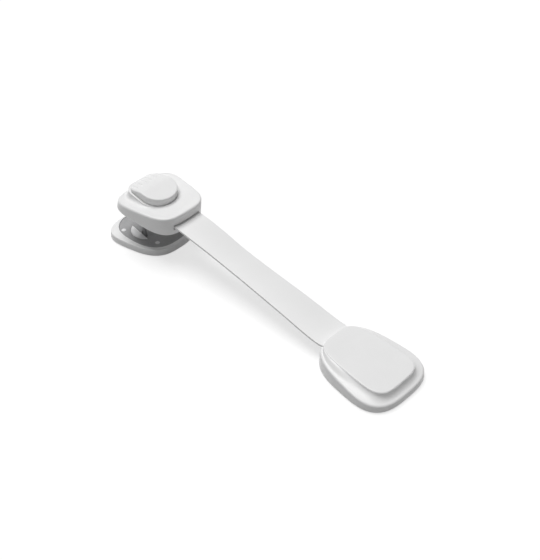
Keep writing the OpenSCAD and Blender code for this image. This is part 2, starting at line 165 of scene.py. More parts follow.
@dataclass(frozen=True)
class Shield:
    """Rounded shield outline: a superellipse that widens to one end."""

    length: float
    width: float
    flare: float
    power: float
    shift: float = 0.0

    def at(self, turns: np.ndarray, inset: float = 0.0) -> np.ndarray:
        """Outline points.

        Args:
            turns: the outline's own turns, from 0 to a full turn.
            inset: how far the outline is drawn in.

        Returns:
            One flat point for each turn.
        """
        along = signed_power(np.cos(turns), 2 / self.power)
        across = signed_power(np.sin(turns), 2 / self.power)
        return np.column_stack([
            (self.length / 2 - inset) * along + self.shift,
            (self.width / 2 - inset) * (1 + self.flare * along) * across])

    def ring(self, turns: np.ndarray, inset: float, height: np.ndarray | float) -> np.ndarray:
        """The outline drawn in by an inset, at a height."""
        return with_height(self.at(turns, inset), height)

    def even_turns(self, count: int) -> np.ndarray:
        """Turns that space a number of points evenly along the outline."""
        dense = np.linspace(0.0, FULL_TURN, 60 * count + 1)
        steps = np.linalg.norm(np.diff(self.at(dense), axis=0), axis=1)
        run = np.concatenate([[0.0], np.cumsum(steps)])
        return np.interp(np.linspace(0.0, run[-1], count, endpoint=False), run, dense)

    def dense(self, inset: float = 0.0) -> np.ndarray:
        """The outline as many close points."""
        return self.at(np.linspace(0.0, FULL_TURN, DENSE_POINTS, endpoint=False), inset)


def make_mesh(name: str, points: np.ndarray, faces: list[list[int]]) -> bpy.types.Object:
    """New mesh object from points in millimetres, with its normals turned outwards.

    Args:
        name: the object's name.
        points: the mesh's points.
        faces: point numbers of each face.

    Returns:
        The object, linked to the scene.
    """
    mesh = bpy.data.meshes.new(name)
    mesh.from_pydata((points * MM).tolist(), [], faces)
    build = bmesh.new()
    build.from_mesh(mesh)
    bmesh.ops.recalc_face_normals(build, faces=build.faces)
    build.to_mesh(mesh)
    build.free()
    piece = bpy.data.objects.new(name, mesh)
    bpy.context.scene.collection.objects.link(piece)
    return piece


def loft(name: str, rings: list[np.ndarray], ends: Ends = Ends.CAPPED) -> bpy.types.Object:
    """Closed mesh through a stack of rings with the same number of points.

    Args:
        name: the object's name.
        rings: the rings' points, one array each.
        ends: flat caps on the first and last ring, or the two joined to each other.

    Returns:
        The object.
    """
    count = len(rings[0])
    step = np.arange(count)
    after = (step + 1) % count
    pairs = [(k, k + 1) for k in range(len(rings) - 1)]
    if ends is Ends.LOOPED:
        pairs.append((len(rings) - 1, 0))
    faces = []
    for low, high in pairs:
        quads = np.column_stack([
            low * count + step, low * count + after, high * count + after, high * count + step])
        faces.extend(quads.tolist())
    if ends is Ends.CAPPED:
        faces.append(step[::-1].tolist())
        faces.append(((len(rings) - 1) * count + step).tolist())
    return make_mesh(name, np.vstack(rings), faces)


def shade(piece: bpy.types.Object, crease: Crease = Crease.MOULDED) -> None:
    """Smooth shading with the edges over the crease angle left sharp."""
    piece.data.shade_smooth()
    piece.data.set_sharp_from_angle(angle=math.radians(crease.value))


def carve(piece: bpy.types.Object, *cutters: bpy.types.Object) -> None:
    """Cuts closed meshes out of a piece and removes them.

    Args:
        piece: the mesh to cut.
        cutters: the closed meshes to take out of it.
    """
    for cutter in cutters:
        cut = piece.modifiers.new("cut", "BOOLEAN")
        cut.operation = "DIFFERENCE"
        cut.solver = "EXACT"
        cut.object = cutter
    graph = bpy.context.evaluated_depsgraph_get()
    mesh = bpy.data.meshes.new_from_object(piece.evaluated_get(graph))
    piece.modifiers.clear()
    plain = piece.data
    piece.data = mesh
    mesh.name = piece.name
    bpy.data.meshes.remove(plain)
    for cutter in cutters:
        bpy.data.objects.remove(cutter, do_unlink=True)


def merge(name: str, pieces: list[bpy.types.Object]) -> bpy.types.Object:
    """One object from several meshes.

    Args:
        name: the new object's name.
        pieces: the mesh objects, which are removed.

    Returns:
        The joined object.
    """
    build = bmesh.new()
    for piece in pieces:
        build.from_mesh(piece.data)
    mesh = bpy.data.meshes.new(name)
    build.to_mesh(mesh)
    build.free()
    for piece in pieces:
        bpy.data.objects.remove(piece, do_unlink=True)
    joined = bpy.data.objects.new(name, mesh)
    bpy.context.scene.collection.objects.link(joined)
    return joined


class Nodes:
    """A node tree, with short ways to add and join nodes."""

    def __init__(self, tree: bpy.types.NodeTree) -> None:
        """Takes the tree that the nodes go in."""
        self.tree = tree

    def add(self, kind: str, **values: object) -> bpy.types.Node:
        """New node.

        Args:
            kind: the node's type.
            values: input values and properties, with spaces as underscores.

        Returns:
            The node.
        """
        node = self.tree.nodes.new(kind)
        for key, value in values.items():
            socket = node.inputs.get(key.replace("_", " "))
            if socket is None:
                setattr(node, key, value)
            else:
                socket.default_value = value
        return node

    def join(self, source: bpy.types.NodeSocket, target: bpy.types.NodeSocket) -> None:
        """Link from one socket to another."""
        self.tree.links.new(source, target)

    def seen(self) -> bpy.types.NodeSocket:
        """One where a ray comes from the camera, a mirror or a clear surface."""
        rays = self.add("ShaderNodeLightPath")
        level = rays.outputs["Is Camera Ray"]
        for kind in ("Is Glossy Ray", "Is Transmission Ray"):
            either = self.add("ShaderNodeMath", operation="MAXIMUM")
            self.join(level, either.inputs[0])
            self.join(rays.outputs[kind], either.inputs[1])
            level = either.outputs["Value"]
        return level


class Recipe(Nodes):
    """A material's node tree, with the noises and layers that the finishes are made of."""

    def __init__(self, name: str) -> None:
        """Starts a material that has only its surface shader."""
        self.material = bpy.data.materials.new(name)
        self.material.use_nodes = True
        super().__init__(self.material.node_tree)
        self.shader = self.tree.nodes["Principled BSDF"]
        self.place = self.add("ShaderNodeTexCoord").outputs["Object"]

    def put(self, **values: float) -> None:
        """Sets inputs of the surface shader, with spaces as underscores."""
        for key, value in values.items():
            self.shader.inputs[key.replace("_", " ")].default_value = value

    def noise(self, grain: float, detail: float = 3.0) -> bpy.types.NodeSocket:
        """Noise whose blobs are about a grain across, in millimetres."""
        node = self.add("ShaderNodeTexNoise", Scale=1 / (grain * MM), Detail=detail)
        self.join(self.place, node.inputs["Vector"])
        return node.outputs["Fac"]

    def cells(self, size: float) -> bpy.types.NodeSocket:
        """Distance inside round cells of a size in millimetres."""
        node = self.add("ShaderNodeTexVoronoi", Scale=1 / (size * MM))
        self.join(self.place, node.inputs["Vector"])
        return node.outputs["Distance"]

    def spread(self, source: bpy.types.NodeSocket, low: float, high: float) -> bpy.types.NodeSocket:
        """Maps the middle of a noise to a range of values."""
        node = self.add("ShaderNodeMapRange", From_Min=NOISE_LOW, From_Max=NOISE_HIGH,
                        To_Min=low, To_Max=high)
        self.join(source, node.inputs["Value"])
        return node.outputs["Result"]

    def tint(self, source: bpy.types.NodeSocket, low: tuple[float, ...],
             high: tuple[float, ...]) -> None:
        """Drives the base colour between two tints.

        Args:
            source: the noise that drives it.
            low: linear colour where the noise is low.
            high: linear colour where it is high.
        """
        ramp = self.add("ShaderNodeValToRGB")
        ramp.color_ramp.elements[0].position = NOISE_LOW
        ramp.color_ramp.elements[0].color = (*low, 1.0)
        ramp.color_ramp.elements[1].position = NOISE_HIGH
        ramp.color_ramp.elements[1].color = (*high, 1.0)
        self.join(source, ramp.inputs["Fac"])
        self.join(ramp.outputs["Color"], self.shader.inputs["Base Color"])

    def roughen(self, source: bpy.types.NodeSocket, low: float, high: float) -> None:
        """Drives the roughness between two values."""
        self.join(self.spread(source, low, high), self.shader.inputs["Roughness"])

    def relief(self, *layers: tuple[bpy.types.NodeSocket, float]) -> None:
        """Stacks bump layers.

        Args:
            layers: a height socket and its depth in millimetres, from the first laid to the last.
        """
        normal = None
        for height, depth in layers:
            bump = self.add("ShaderNodeBump", Strength=1.0, Distance=depth * MM)
            self.join(height, bump.inputs["Height"])
            if normal is not None:
                self.join(normal, bump.inputs["Normal"])
            normal = bump.outputs["Normal"]
        self.join(normal, self.shader.inputs["Normal"])


def scaled(colour: tuple[float, float, float], share: float) -> tuple[float, ...]:
    """A colour made lighter or darker."""
    return tuple(min(1.0, channel * share) for channel in colour)


@dataclass(frozen=True)
class Finish:
    """A finish: its material's name, its linear colour and the record's slot for it.

    The names differ from the slots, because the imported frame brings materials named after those.
    """

    name: str
    colour: tuple[float, float, float]
    slot: str

    def material(self) -> bpy.types.Material:
        """The material, made once."""
        known = bpy.data.materials.get(self.name)
        if known is None:
            recipe = Recipe(self.name)
            self.mix(recipe)
            known = recipe.material
        return known

    def mix(self, recipe: Recipe) -> None:
        """Adds the finish's own nodes to a new material."""
        raise NotImplementedError


@dataclass(frozen=True)
class MouldedPlastic(Finish):
    """Satin moulded plastic with a spark-eroded grain, in millimetres."""

    roughness: float
    grain: float
    grain_depth: float

    def mix(self, recipe: Recipe) -> None:
        """Adds a fine grain over broad soft patches."""
        fine = recipe.noise(self.grain, 2.0)
        broad = recipe.noise(self.grain * 60)
        recipe.tint(broad, scaled(self.colour, 0.985), scaled(self.colour, 1.01))
        recipe.roughen(fine, self.roughness - 0.05, self.roughness + 0.06)
        recipe.relief((broad, self.grain_depth * 6), (fine, self.grain_depth))
        recipe.put(IOR=1.49, Specular_IOR_Level=0.4)


@dataclass(frozen=True)
class CellFoam(Finish):
    """Closed-cell foam: small round cells and soft patches, in millimetres."""

    cell: float
    cell_depth: float

    def mix(self, recipe: Recipe) -> None:
        """Adds the cells and the patches."""
        cells = recipe.cells(self.cell)
        patches = recipe.noise(self.cell * 14)
        recipe.tint(cells, scaled(self.colour, 0.8), scaled(self.colour, 1.15))
        recipe.roughen(patches, 0.78, 0.95)
        recipe.relief((patches, self.cell_depth), (cells, self.cell_depth))
        recipe.put(Specular_IOR_Level=0.25)


@dataclass(frozen=True)
class PlatedSteel(Finish):
    """Zinc-plated steel with fine turning marks."""

    def mix(self, recipe: Recipe) -> None:
        """Adds the marks and a soft bloom."""
        marks = recipe.noise(0.12, 4.0)
        bloom = recipe.noise(1.5)
        recipe.tint(bloom, scaled(self.colour, 0.9), scaled(self.colour, 1.05))
        recipe.roughen(marks, 0.24, 0.4)
        recipe.relief((marks, 0.004))
        recipe.put(Metallic=1.0)


@dataclass(frozen=True)
class ReleaseFilm(Finish):
    """Smooth release film that lies a little wavy on the tape."""

    def mix(self, recipe: Recipe) -> None:
        """Adds the waves and the film's fibres."""
        waves = recipe.noise(7.0, 1.0)
        fibres = recipe.noise(0.3, 4.0)
        recipe.tint(fibres, scaled(self.colour, 0.97), scaled(self.colour, 1.02))
        recipe.roughen(fibres, 0.16, 0.26)
        recipe.relief((waves, 0.12), (fibres, 0.003))


WHITE = MouldedPlastic("moulded_white", (0.83, 0.83, 0.83), "white_plastic", 0.30, 0.22, 0.0025)
STRAP_WHITE = MouldedPlastic("satin_strap", (0.84, 0.84, 0.84), "strap_plastic", 0.36, 0.35, 0.0015)
GREY = MouldedPlastic("moulded_grey", (0.78, 0.78, 0.785), "grey_plastic", 0.42, 0.25, 0.003)
DARK = MouldedPlastic("moulded_dark", (0.20, 0.20, 0.205), "dark_plastic", 0.45, 0.25, 0.003)
WASHER = MouldedPlastic("turned_washer", (0.18, 0.18, 0.185), "washer_plastic", 0.38, 0.2, 0.002)
DARK_FOAM = CellFoam("cushion_foam", (0.38, 0.38, 0.385), "dark_foam", 0.28, 0.03)
TAPE_FOAM = CellFoam("tape_core", (0.84, 0.84, 0.82), "foam_tape", 0.35, 0.03)
STEEL = PlatedSteel("zinc_steel", (0.58, 0.58, 0.59), "steel")
FILM = ReleaseFilm("release_film", (0.82, 0.825, 0.83), "liner_film")


def dress(piece: bpy.types.Object, finish: Finish) -> None:
    """Gives a piece its finish."""
    piece.data.materials.clear()
    piece.data.materials.append(finish.material())


def dress_node(node: str, finish: Finish) -> None:
    """Gives a CAD node that stays in view its finish."""
    part = NODES[node]
    if not part.material_slots:
        part.data.materials.append(finish.material())
    for holder in part.material_slots:
        holder.material = finish.material()
    LOG.info("%s: CAD node in %s", node, finish.name)


def settle(piece: bpy.types.Object, body: str, finish: Finish, *nodes: str) -> None:
    """Dresses a finished piece, lets it ride on a body and hides the nodes it stands for.

    Args:
        piece: the finished mesh.
        body: the CAD body that carries it.
        finish: its finish.
        nodes: the CAD nodes that it replaces.
    """
    dress(piece, finish)
    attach(piece, body)
    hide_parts(*nodes)
    LOG.info("%s: %d faces on %s in %s", piece.name, len(piece.data.polygons), body, finish.name)


@dataclass(frozen=True)
class HeadFrame:
    """The swung head's own frame: the dial's axis at the rim's lowest face."""

    origin: tuple[float, float, float]
    tilt: float

    @classmethod
    def from_joints(cls) -> "HeadFrame":
        """The frame as the dial's joint gives it."""
        joint = JOINTS["dial_turn"]
        origin = tuple(value / MM for value in joint["pos_m"])
        return cls(origin, math.atan2(joint["axis"][0], -joint["axis"][2]))

    def to_row(self, points: np.ndarray) -> np.ndarray:
        """Points of the head's frame in the whole lock's frame."""
        sin, cos = math.sin(self.tilt), math.cos(self.tilt)
        along, across, up = points[:, 0], points[:, 1], points[:, 2]
        return np.column_stack([
            self.origin[0] + along * cos - up * sin,
            self.origin[1] + across,
            self.origin[2] + along * sin + up * cos])


@dataclass
class AnchorPad:
    """The pad at the strap's fixed end: its shell, and the foam tape under it."""

    length: float = 50.0
    width: float = 41.4
    flare: float = 0.17
    power: float = 3.0
    rim_near: float = 9.6
    rim_far: float = 4.0
    top_near: float = 11.2
    top_far: float = 7.9
    skirt: float = 0.3
    foot: float = 0.4
    draft: float = 0.2
    crest: float = 1.45
    crest_drop: float = 1.0
    plateau_end: float = 3.25
    plateau_side: float = 6.0
    plateau_shift: float = 1.3
    plateau_flare: float = 0.1
    plateau_power: float = 4.0
    plateau_foot: float = 0.12
    plateau_edge: float = 0.5
    plateau_round: float = 0.35
    cove_power: float = 2.3
    shoulder: float = 0.2
    soft_start: float = 14.0
    soft_run: float = 26.0
    base_inset: float = 1.9
    base_room: float = 2.7
    hollow_inset: float = 4.4
    hollow_top: float = 4.8
    tape_inset: float = 2.9
    liner: float = 0.15
    tape: float = 1.0
    points: int = 288

    def __post_init__(self) -> None:
        """Works out the outlines, their shared turns and the two sloping planes."""
        self.outline = Shield(self.length, self.width, -self.flare, self.power)
        self.plateau = Shield(
            self.length - 2 * self.plateau_end, self.width - 2 * self.plateau_side,
            -self.plateau_flare, self.plateau_power, self.plateau_shift)
        self.turns = self.outline.even_turns(self.points)

    def rim(self, line: np.ndarray) -> np.ndarray:
        """Height of the rim's plane over each point."""
        slope = (self.rim_near - self.rim_far) / self.length
        return (self.rim_near + self.rim_far) / 2 + slope * line[:, 0]

    def top(self, line: np.ndarray) -> np.ndarray:
        """Height of the raised top's plane over each point."""
        slope = (self.top_near - self.top_far) / self.length
        return (self.top_near + self.top_far) / 2 + slope * line[:, 0]

    def wall_rings(self) -> list[np.ndarray]:
        """Rings from the foot over the wall to the rim's crest."""
        rings = [self.outline.ring(self.turns, self.foot * inward, self.skirt + self.foot * up)
                 for up, inward in rounding(3)]
        for inward, down in rounding(7):
            line = self.outline.at(self.turns, self.draft + (self.crest - self.draft) * inward)
            rings.append(with_height(line, self.rim(line) - self.crest_drop * down))
        return rings

    def top_rings(self) -> list[np.ndarray]:
        """Rings from the crest through the cove and over the raised top to its middle."""
        rings = []
        outer = self.outline.at(self.turns, self.crest)
        inner = self.plateau.at(self.turns, -self.plateau_foot)
        for angle in quarter(22)[1:]:
            share = math.sin(angle)
            line = outer * (1 - share) + inner * share
            low = self.rim(line)
            steep = 1 - (1 - share ** self.cove_power) ** (1 / self.cove_power)
            firm = ease((self.soft_start - line[:, 0]) / self.soft_run)
            cove = self.shoulder * share + (1 - self.shoulder) * steep
            climb = float(ease(share)) * (1 - firm) + cove * firm
            rise = self.top(line) - self.plateau_round - low
            rings.append(with_height(line, low + rise * climb))
        for inward, down in rounding(6):
            line = self.plateau.at(self.turns, self.plateau_edge * inward)
            rings.append(with_height(line, self.top(line) - self.plateau_round * down))
        edge = self.plateau.at(self.turns, self.plateau_edge)
        middle = np.array([self.plateau_shift, 0.0])
        for share in (0.9, 0.7, 0.45, 0.2, NEAR_MIDDLE):
            line = middle + (edge - middle) * share
            rings.append(with_height(line, self.top(line)))
        return rings

    def inner_rings(self) -> list[np.ndarray]:
        """Rings of the hollow under the shell, from its roof down to the foot."""
        levels = (
            (self.hollow_inset, self.hollow_top), (self.hollow_inset, self.base_room),
            (self.base_inset, self.base_room), (self.base_inset, self.skirt))
        return [self.outline.ring(self.turns, inset, level) for inset, level in levels]

    def build_cover(self, strap: "Strap") -> bpy.types.Object:
        """The shell with the strap's way cut through it."""
        rings = self.inner_rings() + self.wall_rings() + self.top_rings()
        cover = loft("anchor_shell", rings)
        carve(cover, strap.way())
        shade(cover, Crease.CRISP)
        return cover

    def build_tape(self) -> bpy.types.Object:
        """The foam tape, a little swollen between its two faces."""
        return foam_sheet("anchor_foam", self.outline, self.tape_inset, self.liner, self.tape)

    def make(self, strap: "Strap") -> None:
        """Builds and dresses the pad's pieces."""
        settle(self.build_cover(strap), "anchor", WHITE, "anchor_cover")
        tape = self.build_tape()
        settle(tape, "anchor", TAPE_FOAM, "anchor_tape")
        dress_node("anchor_base", WHITE)
        dress_node("anchor_screws", STEEL)
        dress_node("anchor_liner", FILM)


def foam_sheet(name: str, outline: Shield, inset: float, low: float,
               thick: float) -> bpy.types.Object:
    """A die-cut sheet of foam with a slightly hollow cut edge.

    Args:
        name: the object's name.
        outline: the outline of the piece that carries it.
        inset: how far the sheet keeps inside that outline.
        low: height of its lower face.
        thick: its thickness.

    Returns:
        The mesh object.
    """
    turns = outline.even_turns(200)
    hollow = 0.12
    lip = 0.06
    face = 12.0
    corner = 0.06
    insets = [inset + face * (1 - share) for share in (0.0, 0.3, 0.6, 0.9)] + [inset + lip]
    rings = [outline.ring(turns, draw, low) for draw in insets]
    for share in np.linspace(corner, 1 - corner, 7):
        draw = inset + hollow * math.sin(math.pi * share)
        rings.append(outline.ring(turns, draw, low + thick * share))
    rings.extend(outline.ring(turns, draw, low + thick) for draw in reversed(insets))
    sheet = loft(name, rings)
    shade(sheet)
    return sheet


@dataclass
class Strap:
    """The flat band from the anchor to the head, in two lengths.

    Each knot in lifts is a run past the bend and the strap's rise there. Each knot in widths is a
    run past the bend and the width there, as a share of the nominal width.
    """

    width: float = 18.25
    thick: float = 1.25
    edge: float = 0.16
    tail_start: float = 4.0
    tail_end: float = 13.0
    tail_height: float = 6.0
    rise_end: float = 22.0
    bend_reach: float = 4.0
    free: float = 102.9
    inside_head: float = 12.0
    lifts: tuple[tuple[float, float], ...] = (
        (4.0, 0.0), (26.0, 0.5), (62.0, 0.5), (86.0, 1.2), (96.0, 1.2), (105.0, 0.7))
    widths: tuple[tuple[float, float], ...] = (
        (-8.0, 1.0), (-3.0, 1.08), (65.0, 0.935), (95.0, 1.0))
    split: float = 52.0
    fit: float = 0.15
    lug_place: float = 111.0
    lug_size: tuple[float, float, float] = (3.0, 6.0, 2.6)
    lug_edge: float = 0.2
    way_reach: float = 12.0
    fine_start: float = 92.0
    fine_step: float = 0.5
    coarse_step: float = 2.0
    anchor_bend: tuple[float, float] = (3.0, 3.5)
    head_bend: tuple[float, float] = (4.5, 2.8)

    def __post_init__(self) -> None:
        """Reads the bend and the strap's slope from the frame's joints."""
        bend = JOINTS["strap_flex"]["pos_m"]
        self.bend = np.array([bend[0] / MM, bend[2] / MM])
        slope = HeadFrame.from_joints().tilt
        self.slope = np.array([math.cos(slope), math.sin(slope)])

    def along(self, run: float) -> np.ndarray:
        """Side-view point a run past the bend, on the strap's slight arch to the head."""
        up = np.array([-self.slope[1], self.slope[0]])
        return self.bend + run * self.slope + through(self.lifts, run) * up

    def path(self) -> np.ndarray:
        """Side-view line of the strap's middle, from its tail to its end in the head."""
        points = [np.array([x, self.tail_height])
                  for x in np.linspace(self.tail_start, self.tail_end, 6)]
        for share in np.linspace(0.0, 1.0, 13)[1:]:
            x = self.tail_end + (self.rise_end - self.tail_end) * share
            z = self.tail_height + (self.bend[1] - self.tail_height) * float(ease(share))
            points.append(np.array([x, z]))
        first = self.bend - np.array([self.bend_reach, 0.0])
        last = self.along(self.bend_reach)
        for share in np.linspace(0.0, 1.0, 17):
            points.append(first * (1 - share) ** 2 + 2 * share * (1 - share) * self.bend
                          + last * share ** 2)
        end = self.free + self.inside_head
        runs = np.concatenate([
            np.arange(self.bend_reach + 1.0, self.fine_start, self.coarse_step),
            np.arange(self.fine_start, end, self.fine_step), [end]])
        points.extend(self.along(run) for run in runs)
        return np.array(points)

    def section(self, grow: float, share: float) -> np.ndarray:
        """Rounded cross-section: across and up, grown on each face.

        Args:
            grow: how much each face is grown.
            share: the width here, as a part of the strap's nominal width.

        Returns:
            The section's points.
        """
        half = np.array([self.width * share / 2 + grow, self.thick / 2 + grow])
        corners = ((1, 1), (-1, 1), (-1, -1), (1, -1))
        section = []
        for turn, (side, face) in enumerate(corners):
            centre = np.array([side, face]) * (half - self.edge)
            for angle in quarter(4) + turn * math.pi / 2:
                section.append(centre + self.edge * np.array([math.cos(angle), math.sin(angle)]))
        return np.array(section)

    def sweep(self, name: str, path: np.ndarray, grow: float = 0.0) -> bpy.types.Object:
        """Sweeps the cross-section along a side-view line.

        Args:
            name: the object's name.
            path: the side-view points.
            grow: how much the section is grown on each face.

        Returns:
            The mesh object.
        """
        direction = np.gradient(path, axis=0)
        direction /= np.linalg.norm(direction, axis=1)[:, None]
        rings = []
        for point, ahead in zip(path, direction):
            up = np.array([-ahead[1], ahead[0]])
            run = float((point - self.bend) @ self.slope)
            section = self.section(grow, through(self.widths, run))
            rings.append(np.column_stack([
                point[0] + section[:, 1] * up[0], section[:, 0], point[1] + section[:, 1] * up[1]]))
        return loft(name, rings)

    def way(self) -> bpy.types.Object:
        """The room that the strap takes through the anchor, as a cutter."""
        path = self.path()
        return self.sweep("strap_way", path[path[:, 0] < self.bend[0] + self.way_reach], self.fit)

    def lug(self) -> bpy.types.Object:
        """The block under the strap's end that drops in the head plate's window."""
        long, wide, deep = self.lug_size
        box = bmesh.new()
        bmesh.ops.create_cube(box, size=1.0)
        bmesh.ops.scale(box, vec=Vector((long, wide, deep)) * MM, verts=box.verts)
        bmesh.ops.bevel(box, geom=box.edges[:], offset=self.lug_edge * MM, segments=2,
                        affect="EDGES")
        middle = self.along(self.lug_place) - np.array([-self.slope[1], self.slope[0]]) * deep / 2
        tilt = Matrix.Rotation(-math.atan2(self.slope[1], self.slope[0]), 4, "Y")
        box.transform(Matrix.Translation(Vector((middle[0], 0.0, middle[1])) * MM) @ tilt)
        mesh = bpy.data.meshes.new("strap_lug")
        box.to_mesh(mesh)
        box.free()
        piece = bpy.data.objects.new("strap_lug", mesh)
        bpy.context.scene.collection.objects.link(piece)
        return piece

    def make(self) -> None:
        """Builds and dresses the two lengths."""
        path = self.path()
        runs = (path - self.bend) @ self.slope
        cut = int(np.searchsorted(runs, self.split))
        near = self.sweep("strap_anchor_length", path[:cut + 1])
        far = self.sweep("strap_head_length", path[cut:])
        far = merge("strap_head_length", [far, self.lug()])
        head = JOINTS["head_flex"]["pos_m"]
        hinge = np.array([head[0], head[2]]) / MM
        before, after = self.anchor_bend
        ahead, inside = self.head_bend
        zones = (
            (near, "anchor", "strap", self.bend - [before, 0.0], self.bend + [after, 0.0]),
            (far, "strap", "head", hinge - ahead * self.slope, hinge + inside * self.slope))
        for piece, first, second, start, end in zones:
            shade(piece, Crease.MOULDED)
            dress(piece, STRAP_WHITE)
            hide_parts("strap")
            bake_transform(piece)
            LOG.info("%s: bends from %s to %s", piece.name, first, second)


@dataclass
class TurnDial:
    """The thumb dial: a half round with straight flanks, a ramp and grip flutes."""

    radius: float = 10.75
    nose: float = 13.8
    nose_radius: float = 5.4
    height: float = 5.0
    low: float = 8.15
    stem: float = 3.6
    stem_low: float = 6.0
    ramp_start: float = 1.5
    ramp_end: float = 1.3
    ramp_bow: float = 1.35
    crown: float = 0.35
    edge_inset: float = 0.85
    edge_drop: float = 0.8
    nose_inset: float = 2.4
    nose_drop: float = 0.95
    under_edge: tuple[tuple[float, float], ...] = ((0.15, 0.0), (0.04, 0.04), (0.0, 0.15))
    ramp_corner: float = 0.9
    stem_edge: float = 0.25
    draft: float = 0.08
    flutes: int = 6
    flute_start: float = 7.9
    flute_radius: float = 0.95
    flute_lift: float = 0.56
    flute_margin: float = 2.4
    points: int = 400

    def line(self, grow: float = 0.0) -> np.ndarray:
        """The outline as close points, grown outwards."""
        centre = self.nose - self.nose_radius
        side = self.radius - self.nose_radius
        parts = []
        for middle, radius, first, last in (
                ((centre, side), self.nose_radius, 0.0, 90.0),
                ((0.0, 0.0), self.radius, 90.0, 270.0),
                ((centre, -side), self.nose_radius, 270.0, 360.0)):
            angles = np.radians(np.linspace(first, last, 1500, endpoint=False))
            parts.append(np.array(middle) + polar(angles, radius + grow))
        joined = np.vstack(parts)
        after = np.roll(joined, -1, axis=0)
        between = [joined + (after - joined) * share for share in np.linspace(0, 1, 20)[:-1]]
        return np.stack(between, axis=1).reshape(-1, 2)

    def surface(self, line: np.ndarray) -> np.ndarray:
        """Height of the ramp and its flutes over each point, above the dial's underside."""
        fall = soft_ramp(line[:, 0] - self.ramp_start, self.ramp_corner)
        fall = fall / (self.nose - self.ramp_start)
        ramp = self.height - (self.height - self.ramp_end) * fall ** self.ramp_bow
        ramp = ramp - self.crown * np.minimum(fall * 2, 1.0) * (line[:, 1] / self.radius) ** 2
        pitch = 2 * (self.radius - self.flute_margin) / max(self.flutes - 1, 1)
        for index in range(self.flutes):
            across = line[:, 1] - (index - (self.flutes - 1) / 2) * pitch
            behind = np.minimum(line[:, 0] - self.flute_start, 0.0)
            away = across ** 2 + behind ** 2
            hollow = np.sqrt(np.maximum(self.flute_radius ** 2 - away, 0.0)) - self.flute_lift
            ramp = ramp - np.maximum(hollow, 0.0)
        return ramp

    def make(self, place: HeadFrame) -> None:
        """Builds and dresses the dial and its inner pieces."""
        outline = self.line()
        run = np.concatenate([[0.0], np.cumsum(np.linalg.norm(np.diff(outline, axis=0), axis=1))])
        pick = np.linspace(0.0, run[-1], self.points, endpoint=False)
        even = np.column_stack([np.interp(pick, run, outline[:, axis]) for axis in (0, 1)])
        angles = np.arctan2(even[:, 1], even[:, 0])
        rings = [with_height(polar(angles, radius), height) for radius, height in (
            (self.stem - self.stem_edge, self.stem_low),
            (self.stem, self.stem_low + self.stem_edge), (self.stem, self.low))]
        for inset, rise in self.under_edge:
            radius = reach(self.line(-inset), angles)
            rings.append(with_height(polar(angles, radius), self.low + rise))
        outer = reach(self.line(-self.draft), angles)
        soft = ease((outer * np.cos(angles) - self.ramp_start) / (self.nose - self.ramp_start))
        edge = reach(self.line(-self.edge_inset), angles) * (1 - soft)
        edge = edge + reach(self.line(-self.nose_inset), angles) * soft
        drop = self.edge_drop + (self.nose_drop - self.edge_drop) * soft
        for inward, down in rounding(9):
            line = polar(angles, outer + (edge - outer) * inward)
            rings.append(with_height(line, self.low + self.surface(line) - drop * down))
        for share in np.linspace(1.0, NEAR_MIDDLE, 54)[1:]:
            line = polar(angles, edge * share)
            rings.append(with_height(line, self.low + self.surface(line)))
        dial = loft("thumb_dial", [place.to_row(ring) for ring in rings])
        shade(dial, Crease.MOULDED)
        settle(dial, "dial", WHITE, "dial")
        dress_node("lock_hub", GREY)
        dress_node("dial_screw", STEEL)


